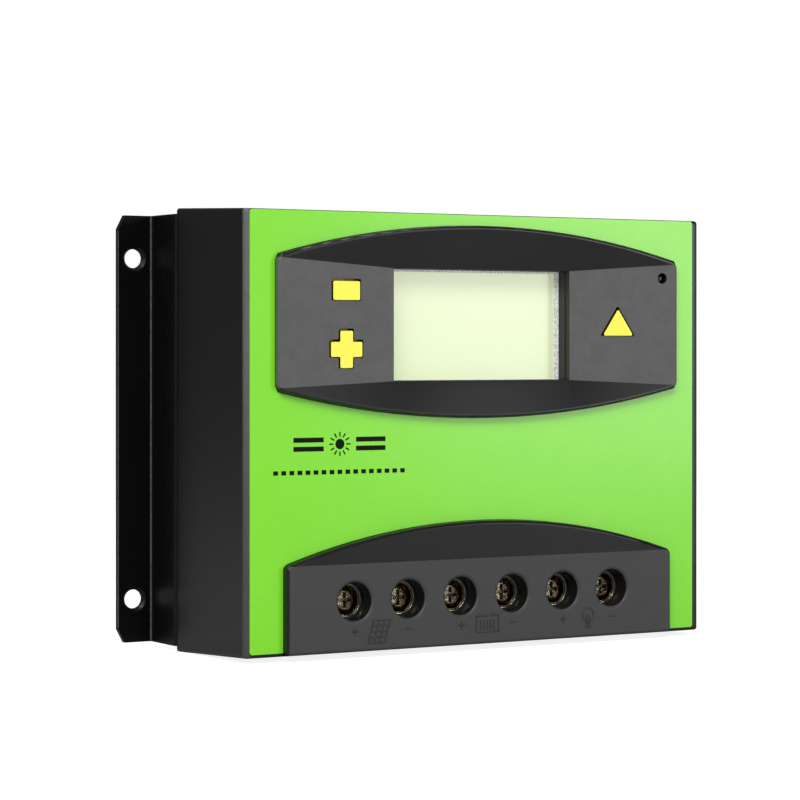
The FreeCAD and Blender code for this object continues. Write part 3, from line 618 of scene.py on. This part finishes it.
def lineUp(tree, shape, count, step, start=(0, 0, 0), turn=(0, 0, 0)):
    # copies of a shape, each one step from the last
    points = addNode(tree, "GeometryNodeMeshLine", {"Count": count, "Start Location": start,
                                                    "Offset": step}, mode="OFFSET")
    copies = addNode(tree, "GeometryNodeInstanceOnPoints", {"Points": points.outputs[0], "Instance": shape,
                                                            "Rotation": turn})
    return copies.outputs[0]


def barRowTree():
    # a straight row of equal bars
    tree, given, result = newTree("barRow", {"Count": "Int", "Start": "Vector", "Step": "Vector",
                                             "Size": "Vector", "Finish": "Material"})
    bar = addNode(tree, "GeometryNodeMeshCube", {"Size": given["Size"]})
    row = lineUp(tree, bar.outputs[0], given["Count"], given["Step"], given["Start"])
    return closeTree(tree, given, result, row)


def barGridTree():
    # rows of bars, the whole row stepped again and again
    tree, given, result = newTree("barGrid", {"Count": "Int", "Rows": "Int", "Start": "Vector",
                                              "Step": "Vector", "Row Step": "Vector", "Size": "Vector",
                                              "Finish": "Material"})
    bar = addNode(tree, "GeometryNodeMeshCube", {"Size": given["Size"]})
    row = lineUp(tree, bar.outputs[0], given["Count"], given["Step"])
    grid = lineUp(tree, row, given["Rows"], given["Row Step"], given["Start"])
    return closeTree(tree, given, result, grid)


def rayRingTree():
    # bars that point outwards round a centre, in a plane square to Y
    tree, given, result = newTree("rayRing", {"Count": "Int", "Centre": "Vector", "Radius": "Float",
                                              "Size": "Vector", "Finish": "Material"})
    outward = addNode(tree, "ShaderNodeCombineXYZ", {"Z": given["Radius"]})
    bar = addNode(tree, "GeometryNodeMeshCube", {"Size": given["Size"]})
    ray = addNode(tree, "GeometryNodeTransform", {"Geometry": bar.outputs[0],
                                                  "Translation": outward.outputs[0]})
    index = addNode(tree, "GeometryNodeInputIndex").outputs[0]
    share = calc(tree, "DIVIDE", index, given["Count"])
    angle = addNode(tree, "ShaderNodeCombineXYZ", {"Y": calc(tree, "MULTIPLY", share, math.tau)})
    ring = lineUp(tree, ray.outputs[0], given["Count"], (0, 0, 0), given["Centre"], angle.outputs[0])
    return closeTree(tree, given, result, ring)


def ringRowTree():
    # a straight row of square-section rings whose axis is Y
    tree, given, result = newTree("ringRow", {"Count": "Int", "Start": "Vector", "Step": "Vector",
                                              "Radius": "Float", "Wall": "Float", "Depth": "Float",
                                              "Finish": "Material"})
    circle = addNode(tree, "GeometryNodeCurvePrimitiveCircle", {"Resolution": 64,
                                                                "Radius": given["Radius"]})
    section = addNode(tree, "GeometryNodeCurvePrimitiveQuadrilateral", {"Width": given["Wall"],
                                                                        "Height": given["Depth"]})
    swept = addNode(tree, "GeometryNodeCurveToMesh", {"Curve": circle.outputs[0],
                                                      "Profile Curve": section.outputs[0]})
    upright = addNode(tree, "GeometryNodeTransform", {"Geometry": swept.outputs[0],
                                                      "Rotation": (math.pi / 2, 0, 0)})
    row = lineUp(tree, upright.outputs[0], given["Count"], given["Step"], given["Start"])
    return closeTree(tree, given, result, row)


trees = {
    "barRow": barRowTree(),
    "barGrid": barGridTree(),
    "rayRing": rayRingTree(),
    "ringRow": ringRowTree(),
}
print("trees built:", len(trees))


def grow(name, treeName, **values):
    # runs a tree once and keeps the plain mesh
    carrier = bpy.data.objects.new(name + "Carrier", bpy.data.meshes.new(name + "Carrier"))
    bpy.context.scene.collection.objects.link(carrier)
    modifier = carrier.modifiers.new("grow", "NODES")
    modifier.node_group = trees[treeName]
    for item in trees[treeName].interface.items_tree:
        if item.in_out == "INPUT":
            modifier[item.identifier] = values[item.name.replace(" ", "")]
    graph = bpy.context.evaluated_depsgraph_get()
    mesh = bpy.data.meshes.new_from_object(carrier.evaluated_get(graph), depsgraph=graph)
    bpy.data.objects.remove(carrier)
    mesh.name = name
    return mesh


def joined(name, meshes, finish):
    whole = bmesh.new()
    for mesh in meshes:
        whole.from_mesh(mesh)
        bpy.data.meshes.remove(mesh)
    result = bpy.data.meshes.new(name)
    whole.to_mesh(result)
    whole.free()
    result.materials.clear()
    result.materials.append(finish)
    return result


def closed(name, shape):
    # a bmesh made a mesh, with its faces turned outwards
    bmesh.ops.recalc_face_normals(shape, faces=shape.faces)
    mesh = bpy.data.meshes.new(name)
    shape.to_mesh(mesh)
    shape.free()
    return mesh


def band(shape, first, second):
    # a closed strip of faces between two loops of corners
    for i in range(len(first)):
        j = (i + 1) % len(first)
        shape.faces.new([first[i], first[j], second[j], second[i]])


def circleLoop(shape, x, y, z, radius, segments):
    turns = [math.tau * i / segments for i in range(segments)]
    return [shape.verts.new((x + radius * math.cos(t), y, z + radius * math.sin(t))) for t in turns]


def addPiece(name, mesh, body, edge=0.0, segments=2):
    piece = bpy.data.objects.new(name, mesh)
    bpy.context.scene.collection.objects.link(piece)
    if edge:
        bevel = piece.modifiers.new("softEdge", "BEVEL")
        bevel.width = edge
        bevel.segments = segments
        bevel.limit_method = "ANGLE"
    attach(piece, body)
    return piece


# heat sink: drawn ribs on the side walls and on the fins

sinkRibs = {
    "sideCount": 8,
    "sidePitch": 1.75 * mm,
    "sideProud": 0.05 * mm,
    "sideFront": -15.2 * mm,
    "ribWidth": 0.45 * mm,
    "sideHalf": 79.4 * mm,
    "endTrim": 0.2 * mm,
    "finCount": 11,
    "finPitch": 12.8 * mm,
    "finHalf": 0.8 * mm,
    "finRibs": 5,
    "finRibPitch": 2.1 * mm,
    "finRibFront": -12.2 * mm,
    "finProud": 0.28 * mm,
    "finRibWidth": 0.9 * mm,
    "edge": 0.09 * mm,
}


def buildSinkRibs():
    look = sinkRibs
    low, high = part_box("heat_sink")
    height = high.z - low.z - 2 * look["endTrim"]
    black = finishes["black_anodised"]
    meshes = []
    for side in (-1, 1):
        meshes.append(grow("sideRibs", "barRow", Count=look["sideCount"],
                           Start=(side * look["sideHalf"], look["sideFront"], 0),
                           Step=(0, look["sidePitch"], 0),
                           Size=(2 * look["sideProud"], look["ribWidth"], height), Finish=black))
        firstFin = -(look["finCount"] - 1) / 2 * look["finPitch"] + side * look["finHalf"]
        meshes.append(grow("finRibs", "barGrid", Count=look["finRibs"], Rows=look["finCount"],
                           Start=(firstFin, look["finRibFront"], 0),
                           Step=(0, look["finRibPitch"], 0),
                           RowStep=(look["finPitch"], 0, 0),
                           Size=(2 * look["finProud"], look["finRibWidth"], height), Finish=black))
    mesh = joined("sinkRibs", meshes, black)
    addPiece("sinkRibs", mesh, "root", edge=look["edge"], segments=1)
    print("heat sink ribs:", len(mesh.polygons), "faces")


buildSinkRibs()


# pale lines on the extrusion: the inner corner and the outer edge of each flange, painted lighter as
# highlights along these bends

flangeLines = {
    "cornerSize": 0.46 * mm,
    "cornerProud": 0.3,                       # share of the line's size that its middle is moved by
    "edgeSize": 0.26 * mm,
    "edgeSunk": 0.35,
    "endTrim": 0.2 * mm,
    "edgeTrim": 4.3 * mm,
    "wallHalf": 79.4 * mm,
    "flangeFront": -1.6 * mm,
    "edge": 0.08 * mm,
}


def buildFlangeLines():
    look = flangeLines
    low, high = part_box("heat_sink")
    height = high.z - low.z - 2 * look["endTrim"]
    front, proud = look["flangeFront"], look["cornerProud"]

    def line(name, x, y, size, length):
        return grow(name, "barRow", Count=1, Start=(x, y, 0), Step=(0, 0, 0), Size=(size, size, length),
                    Finish=flangeHighlightPaint)

    meshes = []
    for side in (-1, 1):
        size = look["cornerSize"]
        cornerX = side * (look["wallHalf"] + size * proud)
        meshes.append(line("cornerLine", cornerX, front - size * proud, size, height))
        size = look["edgeSize"]
        edgeX = side * (high.x - size * look["edgeSunk"])
        edgeLength = height - 2 * look["edgeTrim"]
        meshes.append(line("edgeLine", edgeX, front + size * proud, size, edgeLength))
    mesh = joined("flangeLines", meshes, flangeHighlightPaint)
    addPiece("flangeLines", mesh, "root", edge=look["edge"])
    print("flange lines:", len(mesh.polygons), "faces")


buildFlangeLines()


# printed mark on the film: a sun between two pairs of bars, over a row of short dashes

markLook = {
    "centreX": -47.5 * mm,
    "sunZ": -3.4 * mm,
    "sunRadius": 1.45 * mm,
    "sunSegments": 48,
    "rayCount": 12,
    "rayRadius": 2.75 * mm,
    "raySize": (0.42 * mm, 1.3 * mm),
    "barLength": 9.6 * mm,
    "barHeight": 1.35 * mm,
    "barInner": 5.2 * mm,
    "barGap": 2.5 * mm,
    "dashCount": 17,
    "dashPitch": 2.55 * mm,
    "dashSize": (1.5 * mm, 1.2 * mm),
    "dashZ": -11.2 * mm,
    "thickness": 0.03 * mm,
}


def sunDisc(x, z, front, back):
    look = markLook
    shape = bmesh.new()
    loops = [circleLoop(shape, x, y, z, look["sunRadius"], look["sunSegments"]) for y in (front, back)]
    for loop in loops:
        shape.faces.new(loop)
    band(shape, *loops)
    return closed("sunDisc", shape)


def buildMark():
    look = markLook
    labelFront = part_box("front_label")[0].y
    x, z, thick = look["centreX"], look["sunZ"], look["thickness"]

    def inkShape(name, treeName, size, **values):
        # ink of one thickness on each side of the film's face
        return grow(name, treeName, Size=(size[0], 2 * thick, size[1]), Finish=ink, **values)

    meshes = [sunDisc(x, z, labelFront - thick, labelFront + thick),
              inkShape("sunRays", "rayRing", look["raySize"], Count=look["rayCount"],
                       Centre=(x, labelFront, z), Radius=look["rayRadius"])]
    for side in (-1, 1):
        barX = x + side * (look["barInner"] + look["barLength"] / 2)
        lowBar = (barX, labelFront, z - look["barGap"] / 2)
        meshes.append(inkShape("markBars", "barRow", (look["barLength"], look["barHeight"]), Count=2,
                               Start=lowBar, Step=(0, 0, look["barGap"])))
    firstX = x - (look["dashCount"] - 1) / 2 * look["dashPitch"]
    meshes.append(inkShape("dashes", "barRow", look["dashSize"], Count=look["dashCount"],
                           Start=(firstX, labelFront, look["dashZ"]), Step=(look["dashPitch"], 0, 0)))
    mesh = joined("labelMark", meshes, ink)
    addPiece("labelMark", mesh, "root")
    print("label mark:", len(mesh.polygons), "faces")


buildMark()


# raised signs under the screwdriver holes

poleCount = 6
signLook = {
    "faceY": -59.4 * mm,
    "stroke": 0.34 * mm,
    "proud": 0.20 * mm,
    "edge": 0.07 * mm,
    "rowZ": -55.9 * mm,
    "signSpan": 2.2 * mm,
    "panelWidth": 5.4 * mm,
    "panelHeight": 6.4 * mm,
    "panelSlant": 1.9 * mm,
    "panelShift": -1.0 * mm,
    "panelDrop": 0.3 * mm,
    "panelColumns": 4,
    "panelRows": 5,
    "batteryWidth": 7.6 * mm,
    "batteryHeight": 4.6 * mm,
    "batteryBars": 5,
    "batteryInner": 0.6,                      # share of the case that the cells span
    "batteryPost": (1.216 * mm, 0.7 * mm),
    "postGap": 0.5 * mm,
    "cellDrop": 0.368 * mm,
    "bulbRadius": 2.0 * mm,
    "bulbSegments": 32,
    "bulbRise": 0.9 * mm,
    "capStep": 0.6 * mm,
    "capWidth": 1.7 * mm,
    "capGap": 0.5 * mm,
    "stemGap": 1.0 * mm,
    "stemDrop": 0.9 * mm,
}


def strokes(count, x, z, stepX, stepZ, wide, tall):
    look = signLook
    return grow("strokes", "barRow", Count=count, Start=(x, look["faceY"], z), Step=(stepX, 0, stepZ),
                Size=(wide, 2 * look["proud"], tall), Finish=signBlack)


def polaritySigns(screwXs):
    # a bar under every screw, and an upright through every other one makes it a plus
    span, thin, z = signLook["signSpan"], signLook["stroke"], signLook["rowZ"]
    bars = [strokes(1, x, z, 0, 0, span, thin) for x in screwXs]
    return bars + [strokes(poleCount // 2, screwXs[0], z, screwXs[2] - screwXs[0], 0, thin, span)]


def panelSign(x):
    # a leaning grid of cells
    look = signLook
    wide, tall, thin = look["panelWidth"], look["panelHeight"], look["stroke"]
    cells = look["panelRows"] - 1
    stepX = wide / (look["panelColumns"] - 1)
    stepZ = tall / cells
    lean = look["panelSlant"] / cells
    lowest = look["rowZ"] - look["panelDrop"] - tall / 2
    startX = x + look["panelShift"] - look["panelSlant"] / 2
    meshes = [strokes(look["panelRows"], startX, lowest, lean, stepZ, wide + thin, thin)]
    for i in range(cells):
        meshes.append(strokes(look["panelColumns"], startX - wide / 2 + (i + 0.5) * lean,
                              lowest + (i + 0.5) * stepZ, stepX, 0, thin, stepZ))
    return meshes


def batterySign(x):
    # a case with cells and two posts
    look = signLook
    z, thin = look["rowZ"], look["stroke"]
    wide, tall = look["batteryWidth"], look["batteryHeight"]
    inner = wide * look["batteryInner"]
    return [
        strokes(2, x, z - tall / 2, 0, tall, wide + thin, thin),
        strokes(2, x - wide / 2, z, wide, 0, thin, tall + thin),
        strokes(look["batteryBars"], x - inner / 2, z - look["cellDrop"], inner / (look["batteryBars"] - 1),
                0, thin, tall * look["batteryInner"]),
        strokes(2, x - inner / 2, z + tall / 2 + look["postGap"], inner, 0, *look["batteryPost"]),
    ]


def lampSign(x):
    # a bulb over its cap
    look = signLook
    radius, thin, proud = look["bulbRadius"], look["stroke"], look["proud"]
    z = look["rowZ"] + look["bulbRise"]
    shape = bmesh.new()
    corners = [(radius - thin / 2, -proud), (radius + thin / 2, -proud), (radius + thin / 2, proud),
               (radius - thin / 2, proud)]
    loops = [circleLoop(shape, x, look["faceY"] + y, z, r, look["bulbSegments"]) for r, y in corners]
    for first, second in zip(loops, loops[1:] + loops[:1]):
        band(shape, first, second)
    return [
        closed("bulb", shape),
        strokes(3, x, z - radius - look["capGap"], 0, -look["capStep"], look["capWidth"], thin),
        strokes(2, x - look["stemGap"] / 2, z - look["stemDrop"], look["stemGap"], 0, thin, radius),
    ]


def buildSigns():
    boxes = [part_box("terminal_screw_%d" % (i + 1)) for i in range(poleCount)]
    screwXs = [(low.x + high.x) / 2 for low, high in boxes]
    middles = [(screwXs[i] + screwXs[i + 1]) / 2 for i in range(0, poleCount, 2)]
    meshes = polaritySigns(screwXs) + panelSign(middles[0]) + batterySign(middles[1]) + lampSign(middles[2])
    mesh = joined("terminalSigns", meshes, signBlack)
    addPiece("terminalSigns", mesh, "root", edge=signLook["edge"])
    print("terminal signs:", len(mesh.polygons), "faces")


buildSigns()


# terminal holes: a bright rim and a brass sleeve round each screw head

boreLook = {
    "rimRadius": 4.62 * mm,
    "rimWall": 0.16 * mm,
    "sleeveRadius": 4.26 * mm,
    "sleeveWall": 0.16 * mm,
    "sleeveDepth": 3.4 * mm,
    "sleeveBack": 0.5 * mm,
    "edge": 0.03 * mm,
}


def buildBoreRings():
    look = boreLook
    first, last = [sum(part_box("terminal_screw_%d" % i), Vector()) / 2 for i in (1, poleCount)]
    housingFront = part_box("terminal_housing")[0].y
    step = (last.x - first.x) / (poleCount - 1)

    def ring(name, slotName, finish, y, radius, wall, depth):
        mesh = grow(name, "ringRow", Count=poleCount, Start=(first.x, y, first.z), Step=(step, 0, 0),
                    Radius=radius, Wall=wall, Depth=depth, Finish=finish)
        mesh.materials.clear()
        mesh.materials.append(finish)
        addPiece(name, mesh, "root", edge=look["edge"])

    ring("boreRims", "nickel_plate", rimMetal, housingFront - look["rimWall"] / 4, look["rimRadius"],
         look["rimWall"], look["rimWall"])
    ring("boreSleeves", "brass", sleeveBrass, housingFront + look["sleeveBack"] + look["sleeveDepth"] / 2,
         look["sleeveRadius"], look["sleeveWall"], look["sleeveDepth"])
    print("bore rims and sleeves:", poleCount, "of each")


buildBoreRings()


# display seal: a pale foam frame on the glass, just inside the window, with a painted glow that lifts it
# out of the brow's shadow

sealLook = {
    "top": 0.75 * mm,
    "side": 1.8 * mm,
    "low": 0.25 * mm,
    "thickness": 0.12 * mm,
    "glassInset": 0.3 * mm,
    "windowInset": 2.0 * mm,
}


def buildSeal():
    look = sealLook
    low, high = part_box("lcd_glass")
    rim, inset = look["glassInset"], look["windowInset"]
    outer = (low.x + rim, high.x - rim, low.z + rim, high.z - rim)
    inner = (low.x + inset + look["side"], high.x - inset - look["side"], low.z + inset + look["low"],
             high.z - inset - look["top"])
    shape = bmesh.new()
    loops = []
    for x0, x1, z0, z1 in (outer, inner):
        for y in (low.y - look["thickness"], low.y):
            loops.append([shape.verts.new(p) for p in ((x0, y, z0), (x1, y, z0), (x1, y, z1), (x0, y, z1))])
    for a, b in ((0, 2), (0, 1), (2, 3), (1, 3)):
        band(shape, loops[a], loops[b])
    mesh = closed("displaySeal", shape)
    mesh.materials.append(foam)
    addPiece("displaySeal", mesh, "root")
    print("display seal:", len(mesh.polygons), "faces")


buildSeal()


# small parts on the main board

smallParts = {
    "count": 12,
    "rows": 4,
    "pitchX": 8.0 * mm,
    "pitchZ": 4.6 * mm,
    "lowZ": 29.0 * mm,
    "body": (2.0 * mm, 0.6 * mm, 1.2 * mm),
    "cap": (0.45 * mm, 0.64 * mm, 1.24 * mm),
    "capProud": 0.02 * mm,
    "edge": 0.08 * mm,
}


def buildSmallParts():
    look = smallParts
    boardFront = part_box("main_board")[0].y
    first = -(look["count"] - 1) / 2 * look["pitchX"]

    def grid(name, offset, size, finish):
        return grow(name, "barGrid", Count=look["count"], Rows=look["rows"],
                    Start=(first + offset, boardFront - size[1] / 2, look["lowZ"]),
                    Step=(look["pitchX"], 0, 0), RowStep=(0, 0, look["pitchZ"]), Size=size, Finish=finish)

    body = joined("smallPartBodies", [grid("bodies", 0, look["body"], ceramic)], ceramic)
    addPiece("smallPartBodies", body, "root", edge=look["edge"])
    reach = (look["body"][0] - look["cap"][0]) / 2 + look["capProud"]
    tin = finishes["tinned_pins"]
    caps = joined("smallPartCaps", [grid("caps", side * reach, look["cap"], tin) for side in (-1, 1)], tin)
    addPiece("smallPartCaps", caps, "root", edge=look["edge"])
    print("small parts:", look["count"] * look["rows"])


buildSmallParts()


# floor, light and camera

stageLook = {
    "floorHalf": 4.0,
    "fadeStart": 0.45,
    "fadeEnd": 1.5,
    "floorTone": 0.50,
    "floorLift": 0.86,
    "worldSeen": 1.0,
    "worldLight": 0.12,
}


def buildFloor():
    look = stageLook
    half = look["floorHalf"]
    z = cadBox[0].z
    mesh = bpy.data.meshes.new("floor")
    corners = [(-half, -half, z), (half, -half, z), (half, half, z), (-half, half, z)]
    mesh.from_pydata(corners, [], [(0, 1, 2, 3)])
    floor = bpy.data.objects.new("floor", mesh)
    bpy.context.scene.collection.objects.link(floor)
    material, tree, shader, where = startMaterial("paleFloor", Roughness=1.0, Specular_IOR_Level=0.0,
                                                  Base_Color=grey(look["floorTone"]),
                                                  Emission_Color=grey(1.0))
    # lifted towards white for the camera only, and fading out far from the middle
    seen = addNode(tree, "ShaderNodeLightPath").outputs["Is Camera Ray"]
    tree.links.new(calc(tree, "MULTIPLY", seen, look["floorLift"]), shader.inputs["Emission Strength"])
    far = addNode(tree, "ShaderNodeVectorMath", {0: where}, operation="LENGTH").outputs["Value"]
    clear = addNode(tree, "ShaderNodeBsdfTransparent")
    mix = addNode(tree, "ShaderNodeMixShader", {0: ramp(tree, far, look["fadeStart"], look["fadeEnd"]),
                                                1: shader.outputs["BSDF"], 2: clear.outputs[0]})
    output = next(node for node in tree.nodes if node.type == "OUTPUT_MATERIAL")
    tree.links.new(mix.outputs[0], output.inputs["Surface"])
    mesh.materials.append(material)


def buildWorld():
    world = bpy.data.worlds.new("studio")
    bpy.context.scene.world = world
    world.use_nodes = True
    tree = world.node_tree
    tree.nodes.clear()
    seen, cast = [addNode(tree, "ShaderNodeBackground", {"Color": grey(1.0), "Strength": stageLook[key]})
                  for key in ("worldSeen", "worldLight")]
    rays = addNode(tree, "ShaderNodeLightPath")
    mix = addNode(tree, "ShaderNodeMixShader", {0: rays.outputs["Is Camera Ray"], 1: cast.outputs[0],
                                                2: seen.outputs[0]})
    output = addNode(tree, "ShaderNodeOutputWorld")
    tree.links.new(mix.outputs[0], output.inputs["Surface"])


softboxes = {
    "keyBox": {"place": (-0.75, -1.15, 1.25), "size": (1.0, 0.8), "power": 25.5},
    "rightBox": {"place": (1.24, -1.63, 0.24), "size": (0.60, 0.70), "power": 7.2},
    "leftStrip": {"place": (-1.30, -0.75, 0.75), "size": (0.6, 1.2), "power": 6.0},
    "topBox": {"place": (0.1, 0.3, 1.6), "size": (1.2, 1.0), "power": 9},
}


def buildLights():
    for name, look in softboxes.items():
        light = bpy.data.lights.new(name, "AREA")
        light.shape = "RECTANGLE"
        light.size, light.size_y = look["size"]
        light.energy = look["power"]
        lamp = bpy.data.objects.new(name, light)
        lamp.location = look["place"]
        lamp.rotation_euler = (-Vector(look["place"])).to_track_quat("-Z", "Y").to_euler()
        bpy.context.scene.collection.objects.link(lamp)


cameraLook = {
    "place": (-0.42161, -0.71954, 0.02316),
    "turn": 30.72,
    "lens": 122.2,
    "sensorWidth": 36.0,
    "shiftY": -0.0635,
}


def buildCamera():
    look = cameraLook
    data = bpy.data.cameras.new("camera")
    data.lens = look["lens"]
    data.sensor_width = look["sensorWidth"]
    data.shift_y = look["shiftY"]
    camera = bpy.data.objects.new("camera", data)
    camera.location = look["place"]
    camera.rotation_euler = (math.radians(90), 0, math.radians(-look["turn"]))
    bpy.context.scene.collection.objects.link(camera)
    bpy.context.scene.camera = camera


buildFloor()
buildWorld()
buildLights()
buildCamera()
bpy.context.scene.view_settings.view_transform = "Standard"
print("studio ready")
